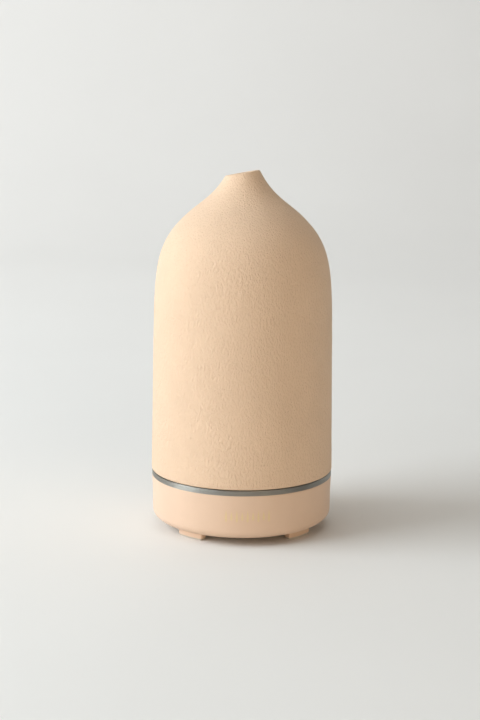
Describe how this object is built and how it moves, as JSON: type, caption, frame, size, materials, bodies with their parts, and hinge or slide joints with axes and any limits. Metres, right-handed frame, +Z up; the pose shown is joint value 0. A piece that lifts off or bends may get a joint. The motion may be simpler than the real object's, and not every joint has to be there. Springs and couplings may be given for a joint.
{
  "type": "essential oil diffuser",
  "caption": "Bell-shaped ceramic mist diffuser with a slanted spout, light ring, round base on low feet, lift-off cover and lid, tank, atomiser, fan and push buttons.",
  "frame": {"origin": "middle of the object on the surface it stands on, at the underside of the foot pads", "axes": "+Z up through the spout, -Y the front with the small mark, +Y the back with the power inlet and the buttons"},
  "size_m": [0.09, 0.09, 0.1775],
  "materials": {
    "porcelain": "matt, fine hammered grain",
    "peach_plastic": "soft satin",
    "frosted_plastic": "frosted, lets light through",
    "white_plastic": "semi-gloss polypropylene",
    "connector_plastic": "satin nylon",
    "grey_plastic": "moulded, fine spark texture",
    "black_plastic": "satin",
    "silicone": "matt, slightly translucent",
    "circuit_board": "solder mask",
    "copper_winding": "lacquered copper wire",
    "steel": "zinc plated",
    "brass": "bright",
    "led_epoxy": "clear phosphor resin",
    "red_insulation": "PVC",
    "black_insulation": "PVC"
  },
  "bodies": {
    "base": {"base_housing": "peach_plastic", "bottom_cover": "peach_plastic", "light_ring": "frosted_plastic", "reservoir": "white_plastic", "fan_connector": "connector_plastic", "transducer_connector": "connector_plastic", "led_connector": "connector_plastic", "transducer_clamp": "grey_plastic", "air_guide": "grey_plastic", "fan_frame": "black_plastic", "dc_jack": "black_plastic", "inductor": "black_plastic", "driver_chip": "black_plastic", "control_chip": "black_plastic", "transistor": "black_plastic", "mist_switch": "black_plastic", "light_switch": "black_plastic", "overflow_seal": "silicone", "transducer_gasket": "silicone", "foot_pad_1": "silicone", "foot_pad_2": "silicone", "foot_pad_3": "silicone", "foot_pad_4": "silicone", "main_board": "circuit_board", "led_board": "circuit_board", "fan_stator": "copper_winding", "transducer_disc": "steel", "capacitor": "steel", "clamp_screw_1": "steel", "clamp_screw_2": "steel", "clamp_screw_3": "steel", "base_screw_1": "steel", "base_screw_2": "steel", "base_screw_3": "steel", "base_screw_4": "steel", "fan_screw_1": "steel", "fan_screw_2": "steel", "board_screw_1": "steel", "board_screw_2": "steel", "dc_jack_pin": "brass", "led_1": "led_epoxy", "led_2": "led_epoxy", "led_3": "led_epoxy", "led_4": "led_epoxy", "led_5": "led_epoxy", "led_6": "led_epoxy", "transducer_lead_red": "red_insulation", "fan_lead_red": "red_insulation", "transducer_lead_black": "black_insulation", "fan_lead_black": "black_insulation", "led_lead": "black_insulation"},
    "cover": {"ceramic_cover": "porcelain"},
    "lid": {"inner_lid": "white_plastic"},
    "rotor": {"fan_rotor": "black_plastic"},
    "mist_key": {"mist_button": "peach_plastic", "mist_plunger": "black_plastic"},
    "light_key": {"light_button": "peach_plastic", "light_plunger": "black_plastic"}
  },
  "joints": [
    {"name": "cover_lift", "type": "slide", "parent": "base", "child": "cover", "axis": [0, 0, 1], "range_m": [0, 0.13]},
    {"name": "lid_lift", "type": "slide", "parent": "base", "child": "lid", "axis": [0, 0, 1], "range_m": [0, 0.038]},
    {"name": "fan_spin", "type": "hinge", "parent": "base", "child": "rotor", "pos_m": [0, -0.022, 0.0115], "axis": [0, 0, 1], "continuous": true},
    {"name": "mist_button_press", "type": "slide", "parent": "base", "child": "mist_key", "axis": [0.3746, -0.9272, 0], "range_m": [0, 0.0006], "stiffness_N_per_m": 2000},
    {"name": "light_button_press", "type": "slide", "parent": "base", "child": "light_key", "axis": [-0.3746, -0.9272, 0], "range_m": [0, 0.0006], "stiffness_N_per_m": 2000}
  ]
}
